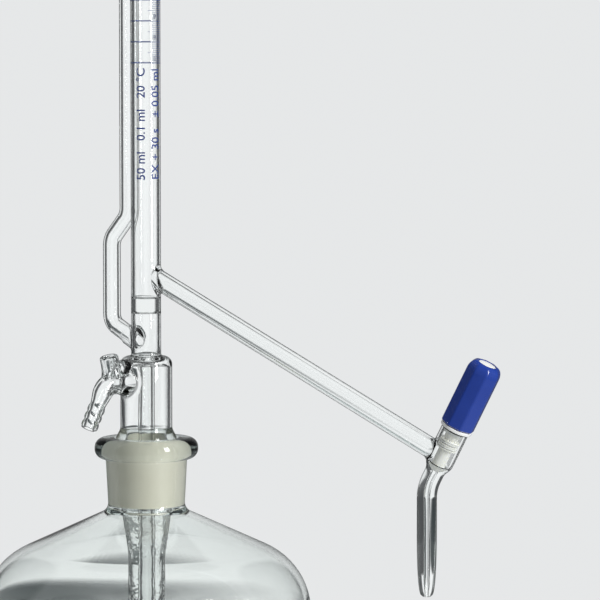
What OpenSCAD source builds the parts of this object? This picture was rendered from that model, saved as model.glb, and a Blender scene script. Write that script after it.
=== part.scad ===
// Automatic burette with overflow zero, standing in the ground neck of its reservoir bottle.
// Origin: centre of the bottle's foot on the bench. +Z runs up the burette, +X toward the delivery arm.

/* [Reservoir bottle] */
// Outer diameter of the bottle body
bottle_d = 156; // [120:1:200]
// Height of the bottle up to its rim
bottle_h = 180; // [160:1:240]
// Wall thickness of the body
bottle_wall = 3; // [2:0.1:5]
// Thickness of the glass in the base
base_t = 5; // [3:0.5:8]
// Outer radius of the heel at the base
heel_r = 12; // [8:0.5:20]
// Inner radius of the flat foot ring
foot_r = 54; // [40:1:60]
// Height of the hollow under the base
push_up = 3; // [1:0.5:4]
// Width of the slope inside the foot ring
foot_slope_w = 12; // [8:1:16]
// Slope of the shoulder below the horizontal
shoulder_slope = 24.6; // [15:0.1:35]
// Radius of the bend from shoulder to wall
shoulder_r = 34; // [20:1:45]
// Length of the neck from rim to shoulder
neck_h = 34; // [34:1:40]
// Outer diameter at the foot of the neck
neck_low_d = 36; // [34:0.5:40]
// Outer diameter of the neck under the bead
neck_top_d = 38.5; // [36:0.5:42]
// Outer diameter of the bead at the rim
bead_d = 49; // [46:0.5:54]
// Thickness of the bead
bead_t = 10; // [6:0.5:12]

/* [Ground joint] */
// Diameter at the large end of the ground zone
joint_d = 29.2; // [28:0.1:30]
// Length of the ground zone
joint_len = 32; // [28:1:33]
// Loss of diameter per millimetre of length
joint_taper = 0.1; // [0.08:0.01:0.12]
// Radial clearance between cone and socket
joint_fit = 0.05; // [0.02:0.01:0.1]
// Depth of the ground zone below the rim
joint_depth = 1; // [0.5:0.1:1.5]
// Wall thickness of the cone
cone_wall = 2.2; // [1.6:0.1:3]
// Height of the shoulder between cone and head
collar_h = 6; // [3:0.5:8]

/* [Head] */
// Outer diameter of the head chamber
head_d = 24.6; // [22:0.1:27]
// Wall thickness of the head chamber
head_wall = 1.8; // [1.2:0.1:2.5]
// Height of the head's top above the bottle rim
head_rise = 38.7; // [36:0.1:44]
// Radius of the head's upper shoulder
head_shoulder = 5; // [3:0.1:5]
// Thickness of the ring seal
ring_seal_t = 2.6; // [2:0.1:4]
// Outer diameter of the drip tail
tail_d = 17.5; // [15:0.1:20]
// Wall thickness of the drip tail
tail_wall = 1.6; // [1.2:0.1:2]
// Width of the step from the ground zone to the tail
tail_step_w = 0.7; // [0.4:0.1:0.9]
// Length of the tail's narrowing
tail_cone_h = 24; // [16:1:30]
// Length of the tail's straight end
tail_end_h = 42; // [20:1:60]
// Outer diameter of the dip tube
dip_d = 8; // [6:0.1:9]
// Bore of the dip tube
dip_bore = 5; // [3:0.1:5.5]
// Height of the dip tube's open end above the bench
dip_clear = 14; // [11:0.5:25]

/* [Hose connection] */
// Direction of the hose connection around the burette
nozzle_turn = 250; // [200:1:270]
// Height of the connection below the head's top
nozzle_drop = 11.5; // [11:0.1:14]
// Outer diameter of the connection
nozzle_d = 11; // [9:0.1:11.5]
// Bore of the connection
nozzle_bore = 6; // [4:0.1:6.4]
// Bend of the connection below the horizontal
nozzle_bend = 62; // [50:1:70]
// Centre-line radius of the bend
nozzle_bend_r = 9; // [8:0.1:12]
// Centre of the burette to the start of the bend
nozzle_reach = 19.5; // [15:0.1:22]
// Growth of radius at the connection's fused root
nozzle_weld_r = 3.2; // [2:0.1:3.4]
// Length of the plain taper behind the ridges
nozzle_taper_h = 6; // [4:0.1:10]
// Outer diameter over the hose ridges
ridge_d = 8.2; // [7:0.1:8.6]
// Outer diameter between the ridges
ridge_root_d = 7.2; // [6.6:0.1:7.6]
// Length of one ridge
ridge_pitch = 4; // [3:0.1:5]
// Share of a ridge's length where its full diameter starts
ridge_rise = 0.35; // [0.2:0.05:0.5]
// Share of a ridge's length where its full diameter ends
ridge_fall = 0.7; // [0.55:0.05:0.85]
// Number of hose ridges
ridge_count = 3; // [2:1:4]
// Bore of the ridged end
ridge_bore = 4.4; // [3:0.1:5]
// Outer diameter of the finger vent
vent_d = 8.8; // [7.5:0.1:9.4]
// Bore of the finger vent
vent_bore = 5.2; // [3:0.1:5.6]
// Length of the finger vent from the centre line
vent_h = 13.4; // [11:0.1:18]
// Lean of the finger vent from upright
vent_lean = 16; // [0:1:25]
// Place of the finger vent around the bend, in degrees
vent_place = 14; // [8:1:20]

/* [Burette tube] */
// Outer diameter of the burette tube
tube_d = 14.2; // [12.5:0.1:15]
// Bore of the burette tube
tube_bore = 11.4; // [10.5:0.1:11.8]
// Length of the stem between head and septum
stem_h = 21; // [20:0.5:30]
// Thickness of the septum
septum_t = 6.1; // [4:0.1:8]
// Height of the full mark above the septum
full_mark_h = 111; // [80:1:140]
// Measured volume in millilitres
volume_ml = 50; // [40:1:50]
// Barrel above the zero mark
barrel_over = 12; // [8:0.5:20]

/* [Riser tube] */
// Direction of the riser around the burette
riser_turn = 161; // [140:1:185]
// Outer diameter of the riser
riser_d = 8.4; // [7:0.1:9]
// Bore of the riser
riser_bore = 5.4; // [4:0.1:6]
// Gap between riser and burette tube
riser_gap = 0.8; // [0.5:0.1:1.5]
// Distance of the riser's low run from the burette axis
riser_out = 24; // [21:0.1:28]
// Height of the elbow's root above the head
elbow_root = 4; // [4:0.1:8]
// Rise of the elbow above the horizontal
elbow_rise = 30; // [20:1:40]
// Centre-line radius of the elbow
elbow_r = 11; // [9:0.1:14]
// Start of the kink above the septum
kink_start = 24; // [18:0.5:40]
// Angle of the kink from upright
kink_angle = 45; // [35:1:50]
// Centre-line radius of the kink's bends
kink_r = 8; // [6.5:0.1:9]
// Number of bridges to the barrel
bridge_count = 3; // [2:1:4]
// Length of one bridge
bridge_h = 6; // [4:0.5:10]
// Width across one bridge
bridge_w = 4.4; // [3.6:0.1:5]

/* [Overflow bulb] */
// Outer diameter of the bulb
bulb_d = 27; // [24:0.5:30]
// Wall thickness of the bulb
bulb_wall = 1.7; // [1.3:0.1:2.2]
// Height of the bulb's lower cone
bulb_cone_h = 13; // [10:0.5:18]
// Height of the bulb's straight side
bulb_side_h = 12; // [10:0.5:20]
// Height of the crook's centre above the bulb
crook_rise = 8; // [6:0.5:14]
// Start of the crook below the zero mark
crook_drop = 14; // [10:0.5:20]
// Outer diameter of the zero jet
zero_jet_d = 6.4; // [5.6:0.1:7]
// Outer diameter at the zero jet's tip
zero_tip_d = 3.6; // [3:0.1:4.5]
// Length of the zero jet's drawn tip
zero_draw_h = 11; // [8:0.5:16]
// Bore of the zero jet
zero_bore = 2; // [1.5:0.1:2.4]
// Outer diameter of the vent spout
spout_d = 6; // [5:0.1:7]
// Bore of the vent spout
spout_bore = 3.4; // [2.5:0.1:4]
// Centre-line radius of the vent spout's bend
spout_r = 6; // [5:0.1:8]
// Length of the vent spout's straight ends
spout_end = 5; // [4:0.1:8]

/* [Side arm] */
// Height of the arm's root above the septum
arm_root = 12.6; // [12:0.1:18]
// Slope of the arm below the horizontal
arm_slope = 27.4; // [20:0.1:35]
// Length of the arm from burette axis to valve axis
arm_len = 173; // [150:1:190]
// Outer diameter of the arm
arm_d = 9.6; // [8:0.1:10]
// Bore of the arm
arm_bore = 6.4; // [5:0.1:6.6]
// Growth of radius where tubes are fused
weld_r = 1.6; // [0.8:0.1:1.6]
// Length of the fused flare
weld_h = 11; // [8:0.5:14]

/* [Needle valve] */
// Outer diameter of the valve barrel
valve_d = 13; // [12.4:0.1:14]
// Bore of the valve barrel
valve_bore = 9.6; // [9:0.1:10]
// Mouth of the valve barrel above the arm axis
valve_mouth = 13.9; // [13:0.1:18]
// Start of the rounded bottom below the arm axis
valve_round = 3; // [2:0.1:4]
// Length of the rounded bottom
valve_round_h = 6; // [5:0.1:8]
// Start of the seat below the arm axis
seat_start = 2.6; // [2:0.1:3]
// Length of the seat's cone
seat_h = 4.4; // [4:0.1:5]
// Running clearance of spindle, nut and knob
valve_fit = 0.06; // [0.02:0.01:0.1]
// Thickness of the nut's flange
flange_t = 1.6; // [1:0.1:2.5]
// Outer diameter of the nut's flange
flange_d = 15; // [13.5:0.1:16]
// Length of the nut's sleeve in the barrel
sleeve_h = 2.2; // [1.5:0.1:2.4]
// Diameter of the spindle's shank
shank_d = 6.8; // [6:0.1:7]
// Diameter of the spindle's slim neck
needle_d = 6.4; // [4:0.1:7]
// Start of the spindle's piston above the arm axis
piston_start = 4; // [3.6:0.1:4.2]
// Length of the spindle's piston
piston_h = 4.6; // [4.4:0.1:4.7]
// Cross section of an O-ring
seal_d = 1.2; // [1:0.05:1.3]
// Distance between the two O-rings
seal_pitch = 2; // [1.8:0.1:2.2]
// Width of an O-ring groove beyond the ring
groove_fit = 0.2; // [0.1:0.05:0.3]
// Axial gap under the knob
knob_gap = 0.3; // [0.2:0.05:0.5]
// Length of the knob
knob_h = 32.2; // [28:0.1:36]
// Width of the knob across its flats
knob_flats = 15.2; // [14:0.1:17]
// Number of the knob's flats
knob_sides = 8; // [6:1:10]
// Rest angle of the knob's flats
knob_turn = 12; // [0:1:45]
// Radius of the knob's rounded end
knob_round = 5; // [3:0.1:5.5]
// Depth of the shank in the knob
knob_grip = 20; // [12:0.5:22]
// Diameter of the white cap
cap_d = 8.6; // [7:0.1:9]
// Depth of the white cap in the knob
cap_h = 4.5; // [3:0.1:6]
// Height of the cap's low dome
cap_dome = 0.5; // [0.2:0.1:1]

/* [Delivery jet] */
// Outer diameter of the jet
jet_d = 9.2; // [8:0.1:9.6]
// Bore of the jet
jet_bore = 2; // [1.6:0.1:2.4]
// Bore at the jet's tip
tip_bore = 1; // [0.8:0.1:1.4]
// Outer diameter at the jet's tip
tip_d = 3.8; // [3.2:0.1:5]
// Arm axis to the corner of the jet's bend
jet_corner = 17.1; // [16:0.1:20]
// Centre-line radius of the jet's bend
jet_bend_r = 20; // [16:0.5:26]
// Length of the jet from the corner to the tip
jet_h = 50.2; // [44:0.1:60]
// Length of the jet's drawn-out end
jet_draw_h = 30; // [20:0.5:34]
// Sharpness of the drawn-out end
jet_draw_power = 1.3; // [1:0.05:1.6]

/* [Bent glass] */
// Loss of diameter where a tube is bent
bend_loss = 0.04; // [0.03:0.01:0.06]
// Length of the unbent lap at each end of a bend
bend_lap = 0.3; // [0.2:0.05:0.3]

/* [Hidden] */
$fn = 96;
round_steps = 14;
flare_steps = 10;
// Bottle
bottle_r = bottle_d / 2;
neck_foot_z = bottle_h - neck_h;
shoulder_cx = bottle_r - shoulder_r;
shoulder_end = 90 - shoulder_slope;
shoulder_w = shoulder_cx + shoulder_r * cos(shoulder_end) - neck_low_d / 2;
shoulder_cz = neck_foot_z - shoulder_w * tan(shoulder_slope) - shoulder_r * sin(shoulder_end);
heel_cx = bottle_r - heel_r;
floor_z = push_up + base_t;
bead_r = bead_t / 2;
bead_cz = bottle_h - bead_r;
// Ground joint
joint_top_z = bottle_h - joint_depth;
joint_low_z = joint_top_z - joint_len;
joint_low_d = joint_d - joint_taper * joint_len;
inner_shoulder_z = neck_foot_z - bottle_wall * cos(shoulder_slope)
    + (neck_low_d / 2 - bottle_wall * sin(shoulder_slope) - joint_low_d / 2) * tan(shoulder_slope);
cone_top_d = joint_d - 2 * joint_fit;
cone_low_d = joint_low_d - 2 * joint_fit;
head_low_z = joint_top_z + collar_h;
head_bore = head_d - 2 * head_wall;
head_top_z = bottle_h + head_rise;
seal_under_z = head_top_z - ring_seal_t;
tail_top_d = cone_low_d - 2 * tail_step_w;
tail_bore = tail_d - 2 * tail_wall;
tail_mid_z = joint_low_z - tail_cone_h;
tail_low_z = tail_mid_z - tail_end_h;
// Hose connection
nozzle_z = head_top_z - nozzle_drop;
nozzle_root = head_d / 4;
nozzle_end_x = nozzle_reach + nozzle_bend_r * sin(nozzle_bend);
nozzle_end_z = -nozzle_bend_r * (1 - cos(nozzle_bend));
vent_x = nozzle_reach + nozzle_bend_r * sin(vent_place);
vent_z = -nozzle_bend_r * (1 - cos(vent_place));
ridges_h = ridge_count * ridge_pitch;
// Burette tube
tube_r = tube_d / 2;
weld_start = tube_r / 3;
septum_z = head_top_z + stem_h;
barrel_z = septum_z + septum_t;
ml_h = 1000 / (PI * pow(tube_bore / 2, 2));
zero_z = barrel_z + full_mark_h + volume_ml * ml_h;
barrel_top_z = zero_z + barrel_over;
// Riser
riser_near = tube_r + riser_gap + riser_d / 2;
elbow_turn = 90 - elbow_rise;
elbow_len = riser_out / cos(elbow_rise) - elbow_r * tan(elbow_turn / 2);
elbow_root_z = head_top_z + elbow_root;
elbow_top_z = elbow_root_z + riser_out * tan(elbow_rise) + elbow_r * tan(elbow_turn / 2);
kink_z = barrel_z + kink_start;
kink_side = riser_out - riser_near - 2 * kink_r * (1 - cos(kink_angle));
kink_run = kink_side / sin(kink_angle);
kink_top_z = kink_z + 2 * kink_r * sin(kink_angle) + kink_run * cos(kink_angle);
crook_z = zero_z - crook_drop;
crook_out_z = crook_z + kink_top_z - kink_z;
// Overflow bulb
bulb_r = bulb_d / 2;
bulb_cone_z = barrel_top_z + bulb_cone_h;
bulb_side_z = bulb_cone_z + bulb_side_h;
bulb_dome_h = bulb_r - riser_d / 2;
bulb_top_z = bulb_side_z + bulb_dome_h;
crook_top_z = bulb_top_z + crook_rise;
bulb_under_z = bulb_top_z - bulb_wall;
spout_z = bulb_side_z - bulb_side_h / 2;
// Side arm and valve
arm_root_z = barrel_z + arm_root;
valve_x = arm_len * cos(arm_slope);
valve_z = arm_root_z - arm_len * sin(arm_slope);
valve_r = valve_d / 2;
valve_low = valve_round + valve_round_h;
piston_d = valve_bore - 2 * valve_fit;
seal_mid_d = valve_bore - 2 * valve_fit - seal_d;
groove_d = seal_mid_d - seal_d - 2 * valve_fit;
groove_w = seal_d + groove_fit;
seal_low = piston_start + piston_h / 2 - seal_pitch / 2;
flange_top = valve_mouth + flange_t;
knob_low = flange_top + knob_gap;
knob_top = knob_low + knob_h;
shank_top = knob_low + knob_grip;
knob_half = 180 / knob_sides;
knob_corner_r = knob_flats / 2 / cos(knob_half);
seat_rate = (valve_bore - jet_bore) / 2 / seat_h;
needle_tip = seat_start + seat_h - valve_fit / seat_rate;
jet_tangent = jet_bend_r * tan(arm_slope / 2);
jet_drop = jet_h - jet_tangent;
jet_x = valve_x - jet_corner * sin(arm_slope);
jet_low_z = valve_z - jet_corner * cos(arm_slope) - jet_h;

// Points on a circle of radius r about [x, z], from angle a to angle b
function arc(x, z, r, a, b, steps = round_steps) =
    [for (i = [0 : steps]) [x + r * cos(a + (b - a) * i / steps), z + r * sin(a + (b - a) * i / steps)]];

// Fire-polished lip between two radii at height z, from the outer wall to the bore
function lip(outer, inner, z) =
    arc((outer + inner) / 2, z - (outer - inner) / 2, (outer - inner) / 2, 0, 180);

// Points of a smooth change of radius from a to b, over height h from height z
function swell(a, b, z, h) = [for (i = [0 : flare_steps])
    [a + (b - a) * (1 - cos(180 * i / flare_steps)) / 2, z + h * i / flare_steps]];

// Ring of glass turned about Z from height z, bored through
module tube(d, bore, z, h) {
    translate([0, 0, z])
        rotate_extrude()
            translate([bore / 2, 0])
                square([(d - bore) / 2, h]);
}

// One straight run of a bent tube, with the rest of the path at its end
module run(d, h) {
    cylinder(d = d, h = h);
    translate([0, 0, h])
        children();
}

// One bend of a tube toward +X (or -X for a negative angle), with the rest of the path at its end
module bend(d, r, angle) {
    side = angle < 0 ? 180 : 0;
    turn = abs(angle);
    inset = bend_lap / 2 / r * 180 / PI;
    rotate([0, 0, side]) {
        cylinder(d = d, h = bend_lap);
        translate([r, 0, 0])
            rotate([90, 0, 180])
                rotate([0, 0, inset])
                    rotate_extrude(angle = turn - 2 * inset)
                        translate([r, 0])
                            circle(d = d - bend_loss);
        translate([r * (1 - cos(turn)), 0, r * sin(turn)])
            rotate([0, turn, 0]) {
                translate([0, 0, -bend_lap])
                    cylinder(d = d, h = bend_lap);
                rotate([0, 0, -side])
                    children();
            }
    }
}

// Trumpet-shaped end where one tube is fused to the side of another
module flare(d, start, grow, h) {
    side = [for (i = [0 : flare_steps])
        [d / 2 + grow * (1 - sin(90 * i / flare_steps)), start + h * i / flare_steps]];
    rotate_extrude()
        polygon(concat([[0, start]], side, [[0, start + h]]));
}

// Frame of the hose connection
module at_nozzle() {
    translate([0, 0, nozzle_z])
        rotate([0, 0, nozzle_turn])
            children();
}

// Frame of the riser's elbow, along its sloping root
module at_elbow() {
    translate([0, 0, elbow_root_z])
        rotate([0, 0, riser_turn])
            rotate([0, elbow_turn, 0])
                children();
}

// Frame of the side arm, along its slope
module at_arm() {
    translate([0, 0, arm_root_z])
        rotate([0, 90 + arm_slope, 0])
            children();
}

// Frame of the valve, with its axis pointing out of the mouth
module at_valve() {
    translate([valve_x, 0, valve_z])
        rotate([0, arm_slope, 0])
            children();
}

// Frame of the finger vent on the bend of the hose connection
module at_vent() {
    at_nozzle()
        translate([vent_x, 0, vent_z])
            rotate([0, vent_lean, 0])
                children();
}

module bottle_base() {
    color([0.86, 0.93, 0.91, 0.4])
        rotate_extrude()
            polygon([[0, push_up], [foot_r - foot_slope_w, push_up], [foot_r, 0], [heel_cx, 0],
                [heel_cx, floor_z], [0, floor_z]]);
}

module bottle_body() {
    outer = concat(
        arc(heel_cx, heel_r, heel_r, -90, 0),
        arc(shoulder_cx, shoulder_cz, shoulder_r, 0, shoulder_end),
        [[neck_low_d / 2, neck_foot_z]]);
    inner = concat(
        [[joint_low_d / 2, neck_foot_z], [joint_low_d / 2, inner_shoulder_z]],
        arc(shoulder_cx, shoulder_cz, shoulder_r - bottle_wall, shoulder_end, 0),
        arc(heel_cx, floor_z + heel_r - bottle_wall, heel_r - bottle_wall, 0, -90));
    color([0.86, 0.93, 0.91, 0.4])
        rotate_extrude()
            polygon(concat(outer, inner));
}

module bottle_neck() {
    outer = concat(
        [[neck_low_d / 2, neck_foot_z], [neck_top_d / 2, bead_cz - bead_r]],
        arc(bead_d / 2 - bead_r, bead_cz, bead_r, -90, 90));
    socket = [[joint_d / 2, bottle_h], [joint_d / 2, joint_top_z], [joint_low_d / 2, joint_low_z],
        [joint_low_d / 2, neck_foot_z]];
    color([0.8, 0.86, 0.84, 0.6])
        rotate_extrude()
            polygon(concat(outer, socket));
}

module joint_cone() {
    color([0.8, 0.86, 0.84, 0.8])
        rotate_extrude()
            polygon(concat(
                [[cone_low_d / 2 - cone_wall, joint_low_z], [cone_low_d / 2, joint_low_z]],
                swell(cone_top_d / 2, head_d / 2, joint_top_z, collar_h),
                [[head_bore / 2, head_low_z], [head_bore / 2, joint_top_z]]));
}

module cone_tail() {
    color([0.86, 0.93, 0.95, 0.4])
        rotate_extrude()
            polygon([[tail_top_d / 2 - tail_wall, joint_low_z], [tail_bore / 2, tail_mid_z],
                [tail_bore / 2, tail_low_z], [tail_d / 2, tail_low_z], [tail_d / 2, tail_mid_z],
                [tail_top_d / 2, joint_low_z]]);
}

module head_chamber() {
    shoulder_cr = head_d / 2 - head_shoulder;
    shoulder_z = head_top_z - head_shoulder;
    inner_shoulder = head_shoulder - head_wall;
    color([0.86, 0.93, 0.95, 0.4])
        difference() {
            rotate_extrude()
                polygon(concat(
                    [[head_bore / 2, head_low_z], [head_d / 2, head_low_z]],
                    arc(shoulder_cr, shoulder_z, head_shoulder, 0, 90),
                    [[dip_bore / 2, head_top_z], [dip_bore / 2, seal_under_z]],
                    arc(shoulder_cr, seal_under_z - inner_shoulder, inner_shoulder, 90, 0)));
            at_nozzle()
                rotate([0, 90, 0])
                    cylinder(d = nozzle_bore, h = head_d);
        }
}

module dip_tube() {
    color([0.86, 0.93, 0.95, 0.4])
        tube(dip_d, dip_bore, dip_clear, seal_under_z - dip_clear);
}

// Root and bend of the hose connection, as a solid rod of the given diameter
module nozzle_rod(d) {
    rotate([0, 90, 0])
        run(d, nozzle_reach)
            bend(d, nozzle_bend_r, nozzle_bend);
}

// Fused root of the hose connection on the head
module nozzle_weld() {
    rotate([0, 90, 0])
        flare(nozzle_d, nozzle_root, nozzle_weld_r, nozzle_reach - nozzle_root);
}

module nozzle_elbow() {
    color([0.86, 0.93, 0.95, 0.4])
        difference() {
            at_nozzle() {
                nozzle_rod(nozzle_d);
                nozzle_weld();
            }
            at_nozzle()
                nozzle_rod(nozzle_bore);
            at_vent()
                cylinder(d = vent_bore, h = vent_h);
            cylinder(d = head_d, h = head_top_z + head_d);
        }
}

module hose_nozzle() {
    ridges = [for (i = [0 : ridge_count - 1]) each [
        [ridge_root_d / 2, nozzle_taper_h + i * ridge_pitch],
        [ridge_d / 2, nozzle_taper_h + (i + ridge_rise) * ridge_pitch],
        [ridge_d / 2, nozzle_taper_h + (i + ridge_fall) * ridge_pitch]]];
    tip_z = nozzle_taper_h + ridges_h;
    color([0.86, 0.93, 0.95, 0.4])
        at_nozzle()
            translate([nozzle_end_x, 0, nozzle_end_z])
                rotate([0, 90 + nozzle_bend, 0])
                    rotate_extrude()
                        polygon(concat([[nozzle_bore / 2, 0], [nozzle_d / 2, 0]], ridges,
                            [[ridge_root_d / 2, tip_z], [ridge_bore / 2, tip_z],
                                [ridge_bore / 2, nozzle_taper_h]]));
}

module finger_vent() {
    color([0.86, 0.93, 0.95, 0.4])
        difference() {
            at_vent()
                rotate_extrude()
                    polygon(concat([[vent_bore / 2, 0], [vent_d / 2, 0]],
                        lip(vent_d / 2, vent_bore / 2, vent_h)));
            at_nozzle() {
                nozzle_rod(nozzle_d);
                nozzle_weld();
            }
        }
}

module riser_stem() {
    color([0.86, 0.93, 0.95, 0.4])
        difference() {
            tube(tube_d, tube_bore, head_top_z, stem_h);
            at_elbow()
                cylinder(d = riser_bore, h = tube_d);
        }
}

module septum_plug() {
    color([0.8, 0.88, 0.9, 0.6])
        translate([0, 0, septum_z])
            cylinder(d = tube_d, h = septum_t);
}

// Root and bend of the riser, as a solid rod of the given diameter
module elbow_rod(d) {
    at_elbow()
        run(d, elbow_len)
            bend(d, elbow_r, -elbow_turn);
}

module riser_elbow() {
    color([0.86, 0.93, 0.95, 0.4])
        difference() {
            union() {
                elbow_rod(riser_d);
                at_elbow()
                    flare(riser_d, weld_start, weld_r, weld_h);
            }
            elbow_rod(riser_bore);
            translate([0, 0, head_top_z])
                cylinder(d = tube_d, h = stem_h);
        }
}

// Riser from the elbow to the crook, as a solid rod of the given diameter
module riser_rod(d) {
    rotate([0, 0, riser_turn])
        translate([riser_out, 0, elbow_top_z])
            run(d, kink_z - elbow_top_z)
                bend(d, kink_r, -kink_angle)
                    run(d, kink_run)
                        bend(d, kink_r, kink_angle)
                            run(d, crook_z - kink_top_z);
}

module riser_tube() {
    color([0.86, 0.93, 0.95, 0.4])
        difference() {
            riser_rod(riser_d);
            riser_rod(riser_bore);
        }
}

// Upper end of the riser over the bulb, as a solid rod of the given diameter
module crook_rod(d) {
    rotate([0, 0, riser_turn])
        translate([riser_near, 0, crook_z])
            bend(d, kink_r, kink_angle)
                run(d, kink_run)
                    bend(d, kink_r, -kink_angle)
                        run(d, crook_top_z - crook_out_z)
                            bend(d, riser_out / 2, -180)
                                run(d, crook_rise);
}

module riser_crook() {
    color([0.86, 0.93, 0.95, 0.4])
        difference() {
            crook_rod(riser_d);
            crook_rod(riser_bore);
        }
}

module tube_bridges() {
    bridge_step = (zero_z - kink_top_z) / (bridge_count + 1);
    color([0.86, 0.93, 0.95, 0.4])
        for (i = [1 : bridge_count])
            rotate([0, 0, riser_turn])
                translate([0, 0, kink_top_z + i * bridge_step])
                    linear_extrude(height = bridge_h)
                        difference() {
                            translate([tube_r - bridge_w / 4, -bridge_w / 2])
                                square([riser_gap + bridge_w / 2, bridge_w]);
                            circle(d = tube_d);
                            translate([riser_near, 0])
                                circle(d = riser_d);
                        }
}

module burette_barrel() {
    color([0.86, 0.93, 0.95, 0.4])
        difference() {
            tube(tube_d, tube_bore, barrel_z, barrel_top_z - barrel_z);
            at_arm()
                cylinder(d = arm_bore, h = tube_d);
        }
}

module zero_bulb() {
    color([0.86, 0.93, 0.95, 0.4])
        difference() {
            rotate_extrude()
                polygon(concat(
                    swell(tube_r, bulb_r, barrel_top_z, bulb_cone_h),
                    arc(bulb_r - bulb_dome_h, bulb_side_z, bulb_dome_h, 0, 90),
                    [[zero_bore / 2, bulb_top_z], [zero_bore / 2, bulb_under_z]],
                    arc(bulb_r - bulb_dome_h, bulb_side_z, bulb_dome_h - bulb_wall, 90, 0),
                    swell(bulb_r - bulb_wall, tube_bore / 2, bulb_cone_z, -bulb_cone_h)));
            translate([0, 0, spout_z])
                rotate([0, 90, 0])
                    cylinder(d = spout_bore, h = bulb_d);
        }
}

module zero_jet() {
    draw_z = zero_z + zero_draw_h;
    color([0.86, 0.93, 0.95, 0.4])
        rotate_extrude()
            polygon([[zero_bore / 2, zero_z], [zero_tip_d / 2, zero_z], [zero_jet_d / 2, draw_z],
                [zero_jet_d / 2, bulb_under_z], [zero_bore / 2, bulb_under_z]]);
}

// Vent spout out of the bulb, as a solid rod of the given diameter
module spout_rod(d) {
    translate([0, 0, spout_z])
        rotate([0, 90, 0])
            run(d, bulb_r + spout_end)
                bend(d, spout_r, 90)
                    run(d, spout_end);
}

module vent_spout() {
    color([0.86, 0.93, 0.95, 0.4])
        difference() {
            spout_rod(spout_d);
            spout_rod(spout_bore);
            translate([0, 0, bulb_cone_z])
                cylinder(d = bulb_d, h = bulb_side_h);
        }
}

module side_arm() {
    color([0.86, 0.93, 0.95, 0.4])
        difference() {
            at_arm() {
                cylinder(d = arm_d, h = arm_len);
                flare(arm_d, weld_start, weld_r, weld_h);
            }
            at_arm()
                cylinder(d = arm_bore, h = arm_len);
            translate([0, 0, barrel_z])
                cylinder(d = tube_d, h = full_mark_h);
            at_valve()
                translate([0, 0, -arm_d])
                    cylinder(d = valve_d, h = 2 * arm_d);
        }
}

module valve_barrel() {
    color([0.86, 0.93, 0.95, 0.4])
        difference() {
            at_valve()
                rotate_extrude()
                    polygon(concat(
                        [[jet_bore / 2, -valve_low]],
                        swell(jet_d / 2, valve_r, -valve_low, valve_round_h),
                        [[valve_r, valve_mouth], [valve_bore / 2, valve_mouth],
                            [valve_bore / 2, -seat_start],
                            [jet_bore / 2, -seat_start - seat_h]]));
            at_arm()
                translate([0, 0, arm_len - valve_d])
                    cylinder(d = arm_bore, h = valve_d);
        }
}

// Outlet under the valve, bent back to plumb, as a solid rod of the given diameter
module outlet_rod(d) {
    at_valve()
        translate([0, 0, -valve_low])
            rotate([180, 0, 0])
                run(d, jet_corner - jet_tangent - valve_low)
                    bend(d, jet_bend_r, arm_slope);
}

module outlet_bend() {
    color([0.86, 0.93, 0.95, 0.4])
        difference() {
            outlet_rod(jet_d);
            outlet_rod(jet_bore);
        }
}

module delivery_jet() {
    outside = [for (i = [0 : round_steps])
        [tip_d / 2 + (jet_d - tip_d) / 2 * sqrt(1 - pow(1 - i / round_steps, 2)),
            jet_draw_h * pow(i / round_steps, jet_draw_power)]];
    color([0.86, 0.93, 0.95, 0.4])
        translate([jet_x, 0, jet_low_z])
            rotate_extrude()
                polygon(concat([[tip_bore / 2, 0]], outside,
                    [[jet_d / 2, jet_drop], [jet_bore / 2, jet_drop],
                    [jet_bore / 2, jet_draw_h]]));
}

module guide_nut() {
    hole_d = shank_d + 2 * valve_fit;
    color([0.95, 0.95, 0.93])
        at_valve() {
            tube(flange_d, hole_d, valve_mouth, flange_t);
            tube(valve_bore - 2 * valve_fit, hole_d, valve_mouth - sleeve_h, sleeve_h);
        }
}

module valve_spindle() {
    neck_z = -needle_tip + (needle_d - jet_bore) / 2 / seat_rate;
    color([0.96, 0.96, 0.95])
        at_valve()
            difference() {
                rotate_extrude()
                    polygon([[0, -needle_tip], [jet_bore / 2, -needle_tip], [needle_d / 2, neck_z],
                        [needle_d / 2, piston_start], [piston_d / 2, piston_start],
                        [piston_d / 2, piston_start + piston_h], [shank_d / 2, piston_start + piston_h],
                        [shank_d / 2, shank_top], [0, shank_top]]);
                for (i = [0, 1])
                    tube(valve_d, groove_d, seal_low + i * seal_pitch - groove_w / 2, groove_w);
            }
}

module spindle_seals() {
    color([0.9, 0.9, 0.87])
        at_valve()
            for (i = [0, 1])
                translate([0, 0, seal_low + i * seal_pitch])
                    rotate_extrude()
                        translate([seal_mid_d / 2, 0])
                            circle(d = seal_d);
}

module valve_knob() {
    color([0.1, 0.19, 0.62])
        at_valve()
            difference() {
                intersection() {
                    translate([0, 0, knob_low])
                        rotate([0, 0, knob_turn + knob_half])
                            cylinder(r = knob_corner_r, h = knob_h, $fn = knob_sides);
                    rotate_extrude()
                        polygon(concat([[0, knob_low], [knob_corner_r, knob_low]],
                            arc(knob_corner_r - knob_round, knob_top - knob_round, knob_round, 0, 90),
                            [[0, knob_top]]));
                }
                translate([0, 0, knob_low])
                    cylinder(d = shank_d + 2 * valve_fit, h = knob_grip + knob_gap);
                translate([0, 0, knob_top - cap_h])
                    cylinder(d = cap_d, h = cap_h);
            }
}

module knob_cap() {
    color([0.95, 0.95, 0.93])
        at_valve()
            rotate_extrude()
                polygon(concat([[0, knob_top - cap_h], [cap_d / 2 - valve_fit, knob_top - cap_h],
                    [cap_d / 2 - valve_fit, knob_top]],
                    [for (i = [1 : flare_steps]) [(cap_d / 2 - valve_fit) * cos(90 * i / flare_steps),
                        knob_top + cap_dome * sin(90 * i / flare_steps)]]));
}

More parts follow.
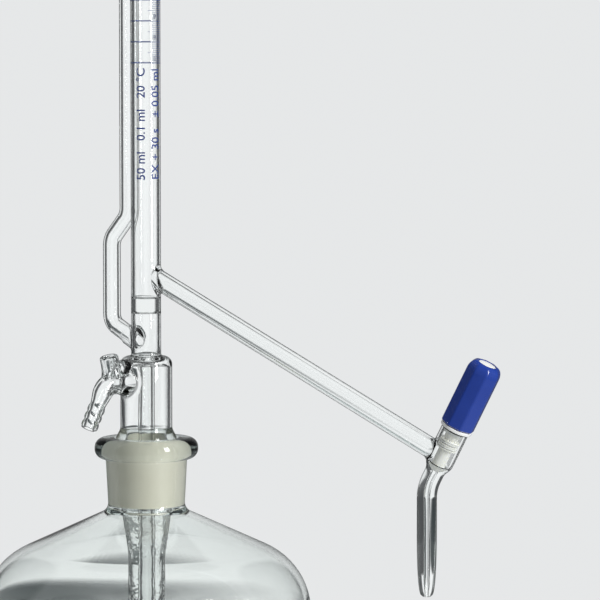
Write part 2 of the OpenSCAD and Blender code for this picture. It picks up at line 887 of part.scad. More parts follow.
bottle_base();
bottle_body();
bottle_neck();
joint_cone();
cone_tail();
head_chamber();
dip_tube();
nozzle_elbow();
hose_nozzle();
finger_vent();
riser_stem();
septum_plug();
riser_elbow();
riser_tube();
riser_crook();
tube_bridges();
burette_barrel();
zero_bulb();
zero_jet();
vent_spout();
side_arm();
valve_barrel();
outlet_bend();
delivery_jet();
guide_nut();
valve_spindle();
spindle_seals();
valve_knob();
knob_cap();
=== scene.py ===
# %% [markdown]
# An automatic burette stands in the ground neck of its reservoir bottle.
# Air that is pumped in at the side drives the liquid up the riser, the overflow bulb sets the zero,
# and the needle valve on the sloping arm lets the liquid out.
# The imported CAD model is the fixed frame: it gives every place, size and motion, and this script gives the looks.

# %% Load the frame
import math

import bmesh
import bpy
from mathutils import Matrix, Vector


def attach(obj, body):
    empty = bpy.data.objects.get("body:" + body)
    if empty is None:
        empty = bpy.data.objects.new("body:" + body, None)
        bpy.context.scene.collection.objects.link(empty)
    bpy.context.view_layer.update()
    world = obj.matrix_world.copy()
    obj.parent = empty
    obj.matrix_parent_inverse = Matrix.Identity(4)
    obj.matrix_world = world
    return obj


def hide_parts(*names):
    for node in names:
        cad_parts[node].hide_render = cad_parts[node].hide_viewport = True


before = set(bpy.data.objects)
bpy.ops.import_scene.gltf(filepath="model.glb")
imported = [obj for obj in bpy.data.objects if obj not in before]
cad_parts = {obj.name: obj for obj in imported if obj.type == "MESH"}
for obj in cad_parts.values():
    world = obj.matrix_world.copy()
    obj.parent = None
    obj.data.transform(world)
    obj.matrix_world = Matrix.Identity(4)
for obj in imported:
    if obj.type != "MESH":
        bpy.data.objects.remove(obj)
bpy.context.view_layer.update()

MM = 0.001

# %% [markdown]
# The photograph was taken with a long lens from a little above the valve, with the arm turned toward the viewer.
# The camera could be fitted by eye, but the ground joint and the ring marks give one scale, and the slopes of
# the arm and the knob give the turn, so the camera is placed by numbers.

# %% Camera
AIM = Vector((0.0652, 0.0322, 0.2451))
VIEW_TURN = math.radians(26.26)
VIEW_RISE = math.radians(3.9)
VIEW_DISTANCE = 1.8
VIEW_ANGLE = math.radians(9.0)
TOWARD_VIEWER = Vector((math.sin(VIEW_TURN), -math.cos(VIEW_TURN), 0))
TO_RIGHT = Vector((math.cos(VIEW_TURN), math.sin(VIEW_TURN), 0))
UP = Vector((0, 0, 1))


def look_at(obj, place, target):
    """Puts an object at a place and turns its -Z axis to a target."""
    obj.location = place
    obj.rotation_euler = (target - place).to_track_quat("-Z", "Y").to_euler()


scene = bpy.context.scene
camera = bpy.data.objects.new("camera", bpy.data.cameras.new("camera"))
scene.collection.objects.link(camera)
camera.data.angle = VIEW_ANGLE
back = TOWARD_VIEWER * math.cos(VIEW_RISE) + UP * math.sin(VIEW_RISE)
look_at(camera, AIM + back * VIEW_DISTANCE, AIM)
scene.camera = camera
scene.view_settings.view_transform = "Standard"
print("camera at", [round(x, 4) for x in camera.location])

# %% [markdown]
# Clear glass is seen by what it bends: a bright field behind it and dark cards at its sides draw its edges.
# One could model a whole studio, but a pale floor that fades into a pale world, three soft lamps and a few
# dark cards that only reflections and refractions see do the same work.

# %% Node helpers
def node_material(name):
    """A new node material, with its tree and its Principled shader."""
    made = bpy.data.materials.new(name)
    made.use_nodes = True
    return made, made.node_tree, made.node_tree.nodes["Principled BSDF"]


def add(tree, kind, links=(), **values):
    """A new node. Values are its own settings or sockets, links are (socket, source socket)."""
    node = tree.nodes.new(kind)
    for key, value in values.items():
        if key in node.inputs:
            node.inputs[key].default_value = value
        else:
            setattr(node, key, value)
    for key, source in links:
        tree.links.new(source, node.inputs[key])
    return node


def remap(tree, source, ends_in=(0, 1), ends_out=(0, 1), curve="LINEAR"):
    """The output of a node that maps one range of a value to another."""
    node = add(tree, "ShaderNodeMapRange", [("Value", source)], interpolation_type=curve)
    for key, value in zip(("From Min", "From Max", "To Min", "To Max"), (*ends_in, *ends_out)):
        node.inputs[key].default_value = value
    return node.outputs[0]


def tone(tree, shader, factor, low, high):
    """Mixes two colours by a factor into the base colour of a shader."""
    mix = add(tree, "ShaderNodeMix", [("Factor", factor)], data_type="RGBA")
    mix.inputs[6].default_value, mix.inputs[7].default_value = low, high
    tree.links.new(mix.outputs[2], shader.inputs["Base Color"])


# %% World
PALE = (0.965, 0.98, 0.987, 1)
SEEN_LEVEL, GLASS_LEVEL, MIRROR_LEVEL, WORLD_LIGHT = 0.82, 0.98, 0.2, 0.36


def ray_levels(tree):
    """How bright the pale room is: for rays that light, that mirror, that pass glass, and that the camera sees."""
    path = add(tree, "ShaderNodeLightPath")
    mirrored = add(tree, "ShaderNodeMix", [(0, path.outputs["Is Glossy Ray"])])
    mirrored.inputs[2].default_value, mirrored.inputs[3].default_value = WORLD_LIGHT, MIRROR_LEVEL
    passed = add(tree, "ShaderNodeMix", [(0, path.outputs["Is Transmission Ray"]), (2, mirrored.outputs[0])])
    passed.inputs[3].default_value = GLASS_LEVEL
    seen = add(tree, "ShaderNodeMix", [(0, path.outputs["Is Camera Ray"]), (2, passed.outputs[0])])
    seen.inputs[3].default_value = SEEN_LEVEL
    return seen.outputs[0]


world = bpy.data.worlds.new("pale_room")
scene.world = world
world.use_nodes = True
tree = world.node_tree
tree.nodes.clear()
sky = add(tree, "ShaderNodeBackground", [("Strength", ray_levels(tree))], Color=PALE)
add(tree, "ShaderNodeOutputWorld", [("Surface", sky.outputs[0])])
print("world", world.name)

# %% Floor
FLOOR_SIZE = 60
FADE_NEAR, FADE_FAR = 0.12, 0.5


def stage_sheet(name, width, height, place, paint):
    """A flat sheet on the stage, with its place in its mesh."""
    bm = bmesh.new()
    bm.loops.layers.uv.new("UVMap")
    bmesh.ops.create_grid(bm, x_segments=1, y_segments=1, size=0.5, calc_uvs=True,
                          matrix=place @ Matrix.Diagonal((width, height, 1, 1)))
    mesh = bpy.data.meshes.new(name)
    bm.to_mesh(mesh)
    bm.free()
    mesh.materials.append(paint)
    sheet = bpy.data.objects.new(name, mesh)
    scene.collection.objects.link(sheet)
    return sheet


floor_paint, tree, shader = node_material("pale_floor")
shader.inputs["Roughness"].default_value = 0.7
where = add(tree, "ShaderNodeTexCoord")
grain = add(tree, "ShaderNodeTexNoise", [("Vector", where.outputs["Object"])], Scale=9.0, Detail=3.0)
tone(tree, shader, grain.outputs["Fac"], (0.82, 0.85, 0.87, 1), (0.86, 0.89, 0.91, 1))
reach = add(tree, "ShaderNodeVectorMath", [(0, where.outputs["Object"])], operation="LENGTH")
far = remap(tree, reach.outputs["Value"], (FADE_NEAR, FADE_FAR), curve="SMOOTHSTEP")
glow = add(tree, "ShaderNodeEmission", [("Strength", ray_levels(tree))], Color=PALE)
mixed = add(tree, "ShaderNodeMixShader", [("Fac", far), (1, shader.outputs[0]), (2, glow.outputs[0])])
tree.links.new(mixed.outputs[0], tree.nodes["Material Output"].inputs["Surface"])
stage_sheet("floor", FLOOR_SIZE, FLOOR_SIZE, Matrix(), floor_paint)
print("floor", FLOOR_SIZE, "m across")

# %% Dark and grey cards
TWO_WALLS = 4


def soft_card(name, colour, core, rim, through=1.0):
    """Paint for a card that fades out between a core and a rim, both measured on the card's UV square.

    Through is its share for a ray that went through both walls of one vessel, which is four faces of glass.
    """
    made, tree, shader = node_material(name)
    shader.inputs["Base Color"].default_value = colour
    shader.inputs["Roughness"].default_value = 0.9
    where = add(tree, "ShaderNodeTexCoord")
    apart = add(tree, "ShaderNodeVectorMath", [(0, where.outputs["UV"])], operation="DISTANCE")
    apart.inputs[1].default_value = (0.5, 0.5, 0)
    soft = remap(tree, apart.outputs["Value"], (core, rim), (1, 0), "SMOOTHERSTEP")
    path = add(tree, "ShaderNodeLightPath")
    both_walls = add(tree, "ShaderNodeMath", [(0, path.outputs["Transmission Depth"])], operation="COMPARE")
    both_walls.inputs[1].default_value, both_walls.inputs[2].default_value = TWO_WALLS, 0.5
    share = remap(tree, both_walls.outputs[0], ends_out=(1, through))
    shown = add(tree, "ShaderNodeMath", [(0, soft), (1, share)], operation="MULTIPLY")
    tree.links.new(shown.outputs[0], shader.inputs["Alpha"])
    return made


def hang_card(name, width, length, place, paint):
    """A card that only reflections and refractions see."""
    card = stage_sheet(name, width, length, place, paint)
    card.visible_camera = card.visible_diffuse = card.visible_shadow = False


# Each card has a turn from the view in degrees, its distance, height, width and length, and whether it stands.
SIDES, ENDS = (53, 127, 233, 307), (0, 180)
CARDS = [(turn, 1.6, 0.8, 2.2, 2.6, True) for turn in SIDES]
CARDS += [(turn, 1.15, 0.002, 1.9, 1.5, False) for turn in SIDES]
CARDS += [(turn, 0.95, 1.7, 1.4, 1.2, False) for turn in ENDS]
dark_card = soft_card("dark_card", (0.12, 0.125, 0.13, 1), 0.36, 0.5, through=0.55)
for number, (turn, away, height, width, length, stands) in enumerate(CARDS):
    ahead = Matrix.Rotation(VIEW_TURN + math.radians(turn), 4, "Z")
    place = ahead @ Matrix.Translation((0, away, height))
    if stands:
        place = place @ Matrix.Rotation(math.pi / 2, 4, "X")
    hang_card(f"card_{number}", width, length, place, dark_card)

# The grey card lies on the floor behind the bottle.
GREY_PLACE = TO_RIGHT * -0.36 - TOWARD_VIEWER * 0.85 + UP * 0.003
GREY_SIZE = 1.3
grey_card = soft_card("grey_card", (0.06, 0.08, 0.085, 1), 0.16, 0.42)
hang_card("card_grey", GREY_SIZE, GREY_SIZE, Matrix.Translation(GREY_PLACE), grey_card)
print("cards", len(CARDS) + 1)

# %% Lamps
LAMP_AIM = Vector((0.05, 0.02, 0.3))
# Each lamp has its place, width, height, power in watts, and whether gloss and glass show it.
LAMPS = {
    "key_lamp": (TO_RIGHT * 0.95 + TOWARD_VIEWER * 0.8 + UP * 0.62, 0.26, 0.9, 14, True),
    "fill_lamp": (TO_RIGHT * -1.05 + TOWARD_VIEWER * 0.5 + UP * 0.7, 0.3, 1.1, 0.5, False),
    "top_lamp": (TOWARD_VIEWER * -0.5 + UP * 1.9, 1.0, 0.6, 10, False),
}
for name, (place, width, height, power, mirrored) in LAMPS.items():
    lamp = bpy.data.lights.new(name, "AREA")
    lamp.shape = "RECTANGLE"
    lamp.size, lamp.size_y = width, height
    lamp.energy = power
    holder = bpy.data.objects.new(name, lamp)
    scene.collection.objects.link(holder)
    holder.visible_camera = False
    holder.visible_glossy = holder.visible_transmission = mirrored
    look_at(holder, place, LAMP_AIM)
print("lamps", sorted(LAMPS))

# %% [markdown]
# Burette glass is borosilicate, drawn into tube and flame polished, so it is clear with long faint waves.
# A plain glass shader would do for a toy; here the waves are a weak bump along the tube, and a thin tint in the
# volume makes the edges deeper in colour, because there the eye looks through more glass.
# A wall that slants away from the view is painted darker toward an edge colour: painted shade that stands in for the
# dark side of a room, which such a wall mirrors.

# %% Clear glass
GLASS_IOR = 1.473
RIPPLE_DEPTH = 0.0004
LAMP_TINT = (0.94, 0.95, 0.95, 1)


def waves(tree, stretch, scale, strength):
    """A weak bump from stretched noise, for the ripples of drawn or blown glass."""
    where = add(tree, "ShaderNodeTexCoord")
    along = add(tree, "ShaderNodeMapping", [("Vector", where.outputs["Object"])], Scale=stretch)
    noise = add(tree, "ShaderNodeTexNoise", [("Vector", along.outputs[0])], Scale=scale, Detail=2.0)
    return add(tree, "ShaderNodeBump", [("Height", noise.outputs["Fac"])],
               Strength=strength, Distance=RIPPLE_DEPTH)


def let_light_in(tree, shader):
    """Lets the rays of the lamps pass, so that what stands behind or inside the glass is lit."""
    path = add(tree, "ShaderNodeLightPath")
    light = add(tree, "ShaderNodeMath", [(0, path.outputs["Is Shadow Ray"]), (1, path.outputs["Is Diffuse Ray"])],
                operation="MAXIMUM")
    gone = add(tree, "ShaderNodeBsdfTransparent", Color=LAMP_TINT)
    both = add(tree, "ShaderNodeMixShader",
               [("Fac", light.outputs[0]), (1, shader.outputs[0]), (2, gone.outputs[0])])
    tree.links.new(both.outputs[0], tree.nodes["Material Output"].inputs["Surface"])


def glass(name, colour, edge, shade_slant, tint, density, stretch, scale, strength):
    """Clear glass with ripples, a painted dark edge (painted shade) where it slants away from the view, and a tint
    that deepens with its thickness.
    """
    made, tree, shader = node_material(name)
    # Painted shade: the base colour runs from the clear colour to the dark edge colour where the surface slants away
    # from the view.
    away = add(tree, "ShaderNodeLayerWeight", Blend=0.5)
    tone(tree, shader, remap(tree, away.outputs["Facing"], shade_slant, curve="SMOOTHSTEP"), colour, edge)
    shader.inputs["Transmission Weight"].default_value = 1.0
    shader.inputs["IOR"].default_value = GLASS_IOR
    shader.inputs["Roughness"].default_value = 0.0
    tree.links.new(waves(tree, stretch, scale, strength).outputs[0], shader.inputs["Normal"])
    tinted = add(tree, "ShaderNodeVolumeAbsorption", Color=tint, Density=density)
    tree.links.new(tinted.outputs[0], tree.nodes["Material Output"].inputs["Volume"])
    let_light_in(tree, shader)
    return made


# Each set holds the clear colour, the painted edge shade colour, the slant range of that painted shade, the volume
# tint and its density.
TUBE_TINT_AND_EDGE_SHADE = (0.985, 0.992, 0.99, 1), (0.10, 0.105, 0.105, 1), (0.4, 0.8), (0.62, 0.70, 0.66, 1), 14
BOTTLE_TINT_AND_EDGE_SHADE = (0.975, 0.99, 0.98, 1), (0.40, 0.43, 0.43, 1), (0.8, 0.97), (0.50, 0.58, 0.56, 1), 26
clear_glass = glass("clear_glass", *TUBE_TINT_AND_EDGE_SHADE, (1, 1, 0.12), 90, 0.06)
flamed_glass = glass("flamed_glass", *TUBE_TINT_AND_EDGE_SHADE, (1, 1, 0.8), 220, 0.8)
bottle_glass = glass("bottle_glass", *BOTTLE_TINT_AND_EDGE_SHADE, (1, 1, 0.5), 22, 0.10)
print("clear glass", [finish.name for finish in (clear_glass, flamed_glass, bottle_glass)])

# %% [markdown]
# The ground joint is lapped with fine grit until cone and socket seal, which leaves a grey-green frosted band.
# It is glass that scatters, so the finish is rough glass with some milk in it and a fine grain in colour and bump.

# %% Ground glass
ground_glass, tree, shader = node_material("ground_glass")
shader.inputs["Transmission Weight"].default_value = 0.3
shader.inputs["IOR"].default_value = GLASS_IOR
where = add(tree, "ShaderNodeTexCoord")
grit = add(tree, "ShaderNodeTexNoise", [("Vector", where.outputs["Object"])], Scale=2600.0, Detail=2.0)
cloud = add(tree, "ShaderNodeTexNoise", [("Vector", where.outputs["Object"])], Scale=70.0, Detail=3.0)
tone(tree, shader, cloud.outputs["Fac"], (0.79, 0.755, 0.62, 1), (0.89, 0.855, 0.73, 1))
tree.links.new(remap(tree, cloud.outputs["Fac"], ends_out=(0.45, 0.6)), shader.inputs["Roughness"])
frost = add(tree, "ShaderNodeBump", [("Height", grit.outputs["Fac"])], Strength=0.25, Distance=0.00005)
tree.links.new(frost.outputs[0], shader.inputs["Normal"])
let_light_in(tree, shader)
print("ground glass", ground_glass.name)

# %% [markdown]
# Most of this glass is turned or drawn, so two tools make nearly all of it.
# A lathe spins an outline round an axis, and a drawn tube pulls a ring of edges along runs and bends.
# Both could be curves with a bevel, but spun and pulled edges give clean rings of faces that can be fused.

# %% Lathe
POLE_MERGE = 3e-6


def outline(corners, steps=8):
    """An outline with softened corners, each (radius, height) or (radius, height, softening) in millimetres."""
    points = []
    for i, corner in enumerate(corners):
        here = Vector(corner[:2])
        if len(corner) == 2:
            points.append(here)
            continue
        before = (Vector(corners[i - 1][:2]) - here).normalized()
        after = (Vector(corners[(i + 1) % len(corners)][:2]) - here).normalized()
        half = before.angle(after) / 2
        centre = here + (before + after).normalized() * corner[2] / math.sin(half)
        spoke = here + before * corner[2] / math.tan(half) - centre
        swing = (here + after * corner[2] / math.tan(half) - centre).angle_signed(spoke)
        for k in range(steps + 1):
            points.append(centre + Matrix.Rotation(swing * k / steps, 2) @ spoke)
    return points


def swell(low, high, height, length, steps=10):
    """Outline points of a smooth change of radius."""
    return [(low + (high - low) * (1 - math.cos(math.pi * i / steps)) / 2, height + length * i / steps)
            for i in range(steps + 1)]


def lathe(bm, points, place=Matrix(), around=80, ring=False):
    """Spins an outline in millimetres once round the Z axis of a frame."""
    verts = [bm.verts.new(place @ Vector((r * MM, 0, z * MM))) for r, z in points]
    pairs = list(zip(verts, verts[1:])) + ([(verts[-1], verts[0])] if ring else [])
    edges = [bm.edges.new(pair) for pair in pairs]
    bmesh.ops.spin(bm, geom=verts + edges, cent=place.translation, axis=place.to_3x3() @ UP,
                   angle=2 * math.pi, steps=around, use_merge=True)
    bmesh.ops.remove_doubles(bm, verts=bm.verts, dist=POLE_MERGE)
    bmesh.ops.recalc_face_normals(bm, faces=bm.faces)
    return bm


def piece(name, bm, finishes, body, slot, *nodes, crease=35):
    """A finished piece: smooth faces, sharp creases, finishes, and its place in the frame."""
    for face in bm.faces:
        face.smooth = True
    for edge in bm.edges:
        edge.smooth = edge.calc_face_angle(0) < math.radians(crease)
    mesh = bpy.data.meshes.new(name)
    bm.to_mesh(mesh)
    bm.free()
    for finish in finishes:
        mesh.materials.append(finish)
    made = bpy.data.objects.new(name, mesh)
    scene.collection.objects.link(made)
    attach(made, body)
    if nodes:
        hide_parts(*nodes)
    print(name, len(mesh.polygons), "faces on", body)
    return made


# %% [markdown]
# The bottle is blown, with a pushed-up base, a sloping shoulder and a thick bead round the ground socket.
# It is one turned outline, out along the outside and back along the inside, so the wall has its real thickness.
# The ground band of the socket is a second finish on the same mesh.

# %% Bottle
GROUND_LOW, GROUND_TOP, LAP_TOP = 147, 179, 175.5
SOCKET_LEAST, SOCKET_MOST = 12.9, 14.7
bottle = [(0, 3), (42, 3, 10), (54, 0, 4), (78, 0, 12), (78, 118.53, 34), (18, 146, 5), (19.25, 170, 1.2),
          (24.5, 170, 4.6), (24.5, 180, 4.6), (14.6, 180, 1.0), (14.6, GROUND_TOP), (14.425, LAP_TOP),
          (13, GROUND_LOW), (13, 144.99, 3), (75, 116.6, 31), (75, 8, 9), (0, 8)]
bm = lathe(bmesh.new(), outline(bottle, 12), around=128)
for face in bm.faces:
    middle = face.calc_center_median() / MM
    in_socket = SOCKET_LEAST < math.hypot(middle.x, middle.y) < SOCKET_MOST
    face.material_index = int(in_socket and GROUND_LOW < middle.z < LAP_TOP)
piece("reservoir_bottle", bm, (bottle_glass, ground_glass), "bottle", "bottle_glass",
      "bottle_base", "bottle_body", "bottle_neck")

# %% [markdown]
# The ground cone carries the burette in the socket, and the drip tail under it keeps drops off the joint.
# Both are rings in section, so their outlines close on themselves.
# The tail is drawn by hand in the flame, which leaves it wavier than the tube it was made from.

# %% Cone and tail
CONE_SKIN = 12.8
cone = [(12.95, GROUND_LOW, 0.3), (14.375, LAP_TOP), *swell(14.55, 12.3, GROUND_TOP, 5.97), (10.5, 184.97),
        (10.5, GROUND_TOP), (10.75, GROUND_LOW)]
bm = lathe(bmesh.new(), outline(cone), around=96, ring=True)
for face in bm.faces:
    middle = face.calc_center_median() / MM
    face.material_index = int(math.hypot(middle.x, middle.y) < CONE_SKIN or middle.z > LAP_TOP)
piece("ground_cone", bm, (ground_glass, clear_glass), "burette", "ground_glass", "joint_cone")
tail = [(10.65, 146.97), (7.15, 123, 20), (7.15, 81, 0.79), (8.75, 81, 0.79), (8.75, 123, 20), (12.25, 146.97)]
piece("drip_tail", lathe(bmesh.new(), outline(tail), around=80, ring=True), (flamed_glass,), "burette",
      "clear_glass", "cone_tail")

# %% [markdown]
# The burette itself is one glass: tubes that are fused in the flame until no seam is left.
# Separate tubes would show false walls inside the glass, so each is built as a solid and its bore as another,
# the solids are joined, and the bores are cut out of the whole.
# The straight column, from dip tube to overflow bulb, is one turned outline that already has its hollows.

# %% Column
DIP_RADIUS, DIP_BORE, DIP_END = 4, 2.5, 14
HEAD_RADIUS, HEAD_BORE, HEAD_FOOT, HEAD_TOP, HEAD_ROUND = 12.3, 10.5, 185, 218.7, 4.0
TUBE_RADIUS, TUBE_BORE, SEPTUM, BARREL_FOOT, BARREL_TOP = 7.1, 5.7, 239.7, 245.8, 858.66
BULB_RADIUS, BULB_BORE, BULB_TOP, BULB_ROOF = 13.5, 11.8, 892.96, 891.26
ZERO_MARK, STUB_RADIUS, STUB_TOP, JET_WALL = 846.66, 4.26, 896.5, 3.2
levels = [222, 225, 228, 231, 234, SEPTUM, BARREL_FOOT, *range(248, 278, 3), 290, *range(320, 860, 60)]
column = [(0, SEPTUM), (TUBE_BORE, SEPTUM, 1.2), (TUBE_BORE, HEAD_TOP, 1.2), (DIP_BORE, HEAD_TOP, 0.8),
          (DIP_BORE, DIP_END, 0.74), (DIP_RADIUS, DIP_END, 0.74), (DIP_RADIUS, 216.1, 1.2),
          (HEAD_BORE, 216.1, 3.0), (HEAD_BORE, HEAD_FOOT), (HEAD_RADIUS, HEAD_FOOT),
          (HEAD_RADIUS, HEAD_TOP, HEAD_ROUND), (TUBE_RADIUS, HEAD_TOP, 1.1), *[(TUBE_RADIUS, z) for z in levels],
          *swell(TUBE_RADIUS, BULB_RADIUS, BARREL_TOP, 13), (BULB_RADIUS, BULB_TOP, 8.0),
          (STUB_RADIUS, BULB_TOP, 1.2), (STUB_RADIUS, STUB_TOP), (1, STUB_TOP), (1, ZERO_MARK, 0.2),
          (1.8, ZERO_MARK, 0.2), (JET_WALL, 857.66, 12), (JET_WALL, BULB_ROOF, 1.0), (BULB_BORE, BULB_ROOF, 6.3),
          *swell(BULB_BORE, TUBE_BORE, 871.66, -13), (TUBE_BORE, BARREL_FOOT, 1.2), (0, BARREL_FOOT)]
solids = {"column": lathe(bmesh.new(), outline(column))}
bores = {}
print("column", len(solids["column"].faces), "faces")

# %% [markdown]
# A bent tube is pulled from a ring of edges: extrude makes a straight run, and spin makes a bend.
# Where a tube is fused to another, the flame leaves a smooth fillet. Each point of the last rings therefore
# runs on a curve that leaves the tube along its own wall and lands along the wall of the other one.

# %% Drawn tubes and welds
WELD_REACH, HALVINGS, WELD_DEPTH, SAME_POINT = 0.02, 40, 0.04, 1e-7


def at(x=0, z=0, turn=0, lean=0):
    """A frame at a point of the XZ plane in millimetres, leaned toward its own X and turned about Z, in degrees."""
    return (Matrix.Translation(Vector((x, 0, z)) * MM) @ Matrix.Rotation(math.radians(turn), 4, "Z")
            @ Matrix.Rotation(math.radians(lean), 4, "Y"))


def up(length):
    """A step along Z in millimetres."""
    return Matrix.Translation((0, 0, length * MM))


class Tube:
    """A round rod that is pulled ring by ring from a frame. All lengths are in millimetres."""

    def __init__(self, place, radius, around=48):
        self.bm = bmesh.new()
        self.place = place.copy()
        self.radius = radius
        bmesh.ops.create_circle(self.bm, segments=around, radius=radius * MM, matrix=place)
        self.edges = list(self.bm.edges)
        self.first = (self.edges, place.copy(), radius)

    def ring(self):
        """The points of the last ring."""
        return list(dict.fromkeys(vert for edge in self.edges for vert in edge.verts))

    def turn_back(self):
        """Goes on from the first ring, the other way."""
        self.edges, place, self.radius = self.first
        self.place = place @ Matrix.Rotation(math.pi, 4, "X")
        return self

    def pull(self):
        """Extrudes the last ring. Returns its new points, each with the old point that it came from."""
        old = set(self.ring())
        made = bmesh.ops.extrude_edge_only(self.bm, edges=self.edges)["geom"]
        new = dict.fromkeys(part for part in made if isinstance(part, bmesh.types.BMVert))
        self.edges = [part for part in made
                      if isinstance(part, bmesh.types.BMEdge) and all(vert in new for vert in part.verts)]
        return {vert: next(edge.other_vert(vert) for edge in vert.link_edges if edge.other_vert(vert) in old)
                for vert in new}

    def run(self, length, radius=None):
        """A straight run, which may change the radius."""
        verts = list(self.pull())
        self.place = self.place @ up(length)
        bmesh.ops.translate(self.bm, verts=verts, vec=self.place.to_3x3() @ Vector((0, 0, length * MM)))
        return self.size(self.radius if radius is None else radius)

    def bend(self, radius, degrees, steps=14, back=False):
        """A bend toward the frame's own X, away from it for a negative angle, or the same way back."""
        aside = Matrix.Translation((math.copysign(radius * MM, degrees), 0, 0))
        swing = math.radians(-degrees if back else degrees)
        last = bmesh.ops.spin(self.bm, geom=self.ring() + self.edges, cent=(self.place @ aside).translation,
                              axis=self.place.to_3x3() @ Vector((0, 1, 0)), angle=swing, steps=steps)["geom_last"]
        self.edges = [part for part in last if isinstance(part, bmesh.types.BMEdge)]
        self.place = self.place @ aside @ Matrix.Rotation(swing, 4, "Y") @ aside.inverted()
        return self

    def size(self, radius):
        """Scales the last ring in its place."""
        grow = radius / self.radius
        bmesh.ops.scale(self.bm, verts=self.ring(), vec=(grow, grow, grow),
                        space=Matrix.Translation(-self.place.translation))
        self.radius = radius
        return self

    def round_off(self, height, inset, steps):
        """Draws the end in along a quarter of an ellipse."""
        start = self.radius
        for k in range(steps):
            low, high = (math.pi / 2 * step / steps for step in (k, k + 1))
            self.run(height * (math.sin(high) - math.sin(low)), start - inset * (1 - math.cos(high)))
        return self

    def weld(self, host, wall, sink, spread, climb, steps=9):
        """Fuses the end to a host tube. Wall gives the host's radius at a height in the host's frame."""
        inverse = host.inverted()
        along = self.place.to_3x3() @ UP

        def in_wall(point, below):
            """A point that is moved level to a depth below the host's wall."""
            local = inverse @ point
            flat = Vector((local.x, local.y, 0)).normalized() * (wall(local.z / MM) - below) * MM
            return host @ (flat + Vector((0, 0, local.z)))

        def landing(point):
            """Where a line of the tube meets the host's wall."""
            near, away = 0.0, WELD_REACH
            for _ in range(HALVINGS):
                middle = (near + away) / 2
                local = inverse @ (point + along * middle)
                outside = math.hypot(local.x, local.y) > wall(local.z / MM) * MM
                near, away = (middle, away) if outside else (near, middle)
            return point + along * near

        curves = {}
        for vert in self.ring():
            foot = landing(vert.co)
            local = inverse @ foot
            normal = (host.to_3x3() @ Vector((local.x, local.y, 0))).normalized()
            out = vert.co - self.place.translation
            slide = (out - normal * out.dot(normal)).normalized() * spread * MM
            curves[vert] = (foot - along * climb * MM, foot, in_wall(foot + slide, WELD_DEPTH))
        for k in range(steps + 1):
            share = k / steps
            curves = {new: curves[old] for new, old in self.pull().items()}
            for vert, (a, b, c) in curves.items():
                vert.co = a * (1 - share) ** 2 + b * 2 * share * (1 - share) + c * share ** 2
        root = landing(self.place.translation)
        for share in (1.0, 0.66, 0.33):
            curves = {new: curves[old] for new, old in self.pull().items()}
            for vert, (*_, end) in curves.items():
                vert.co = in_wall(root.lerp(end, share), sink)
        return self.cap()

    def cap(self):
        """Closes the last ring with a fan of faces."""
        face = bmesh.ops.contextual_create(self.bm, geom=self.edges)["faces"]
        bmesh.ops.poke(self.bm, faces=face)
        return self

    def done(self):
        """The bmesh with its normals outward."""
        bmesh.ops.remove_doubles(self.bm, verts=self.bm.verts, dist=SAME_POINT)
        bmesh.ops.recalc_face_normals(self.bm, faces=self.bm.faces)
        return self.bm

    def closed(self):
        """The bmesh with both ends capped."""
        return self.cap().turn_back().cap().done()


# %% [markdown]
# The riser leaves the stem under the septum, climbs beside the graduated tube and crooks over into the bulb.
# The same path is drawn twice, once for the glass and once, slimmer, for the bore.
# A start and an end say how far along the path each of them begins and at which height it stops.

# %% Riser
RISER_TURN, RISER_OUT, RISER_RADIUS, RISER_BORE = 161, 24, 4.2, 2.7
ROOT_HEIGHT, KINK_HEIGHT = 222.7, 269.797
ELBOW_RISE, ELBOW_BEND = 24, 6.5
KINK_BEND, KINK_TURN, KINK_RUN = 8, 45, 10.202
LONG_RUN, LONG_STEPS, TOP_RUN = 544.33, 9, 49.77
CROOK_BEND, CROOK_FOOT = 12, 900.96
ELBOW_SLOPE = math.radians(ELBOW_RISE)
ELBOW_CUT = ELBOW_BEND * math.tan((math.pi / 2 - ELBOW_SLOPE) / 2)
ELBOW_RUN = RISER_OUT / math.cos(ELBOW_SLOPE) - ELBOW_CUT
RISER_FOOT = KINK_HEIGHT - ROOT_HEIGHT - RISER_OUT * math.tan(ELBOW_SLOPE) - ELBOW_CUT
COLUMN_FRAME = at()


def riser_path(place, radius, start, end):
    """A rod on the riser's way, from the elbow over two kinks to the crook on the bulb, turned back to its start."""
    tube = Tube(place @ up(start), radius)
    tube.run(ELBOW_RUN - start).bend(ELBOW_BEND, ELBOW_RISE - 90, 18)
    tube.run(RISER_FOOT).bend(KINK_BEND, -KINK_TURN, 10).run(KINK_RUN).bend(KINK_BEND, KINK_TURN, 10)
    for _ in range(LONG_STEPS):
        tube.run(LONG_RUN / LONG_STEPS)
    tube.bend(KINK_BEND, KINK_TURN, 10).run(KINK_RUN).bend(KINK_BEND, -KINK_TURN, 10)
    tube.run(TOP_RUN).bend(CROOK_BEND, -180, 28).run(CROOK_FOOT - end)
    return tube.cap().turn_back()


def tube_wall(height):
    """Radius of the graduated tube, the same at every height."""
    return TUBE_RADIUS


riser_root = at(z=ROOT_HEIGHT, turn=RISER_TURN, lean=90 - ELBOW_RISE)
riser = riser_path(riser_root, RISER_RADIUS, 16.5, 893.5).run(1.6, 4.3).run(1.4, 4.5).run(1.1, 4.8)
solids["riser"] = riser.weld(COLUMN_FRAME, tube_wall, sink=0.7, spread=3.2, climb=2.4).done()
bores["riser"] = riser_path(riser_root, RISER_BORE, 2, 895.5).cap().done()
bores["zero_jet"] = Tube(at(z=893), 1.05, 24).run(4).closed()
print("riser", len(solids["riser"].faces), "faces")

# %% [markdown]
# The hose nozzle bends down from the head, and a finger closes the short vent on its back while one pumps.
# Nozzle and vent run into one another, so the fillet of the weld is wide and the vent flares at its root.
# A short stay of glass ties the vent to the head, as the flame leaves no gap between two tubes this close.

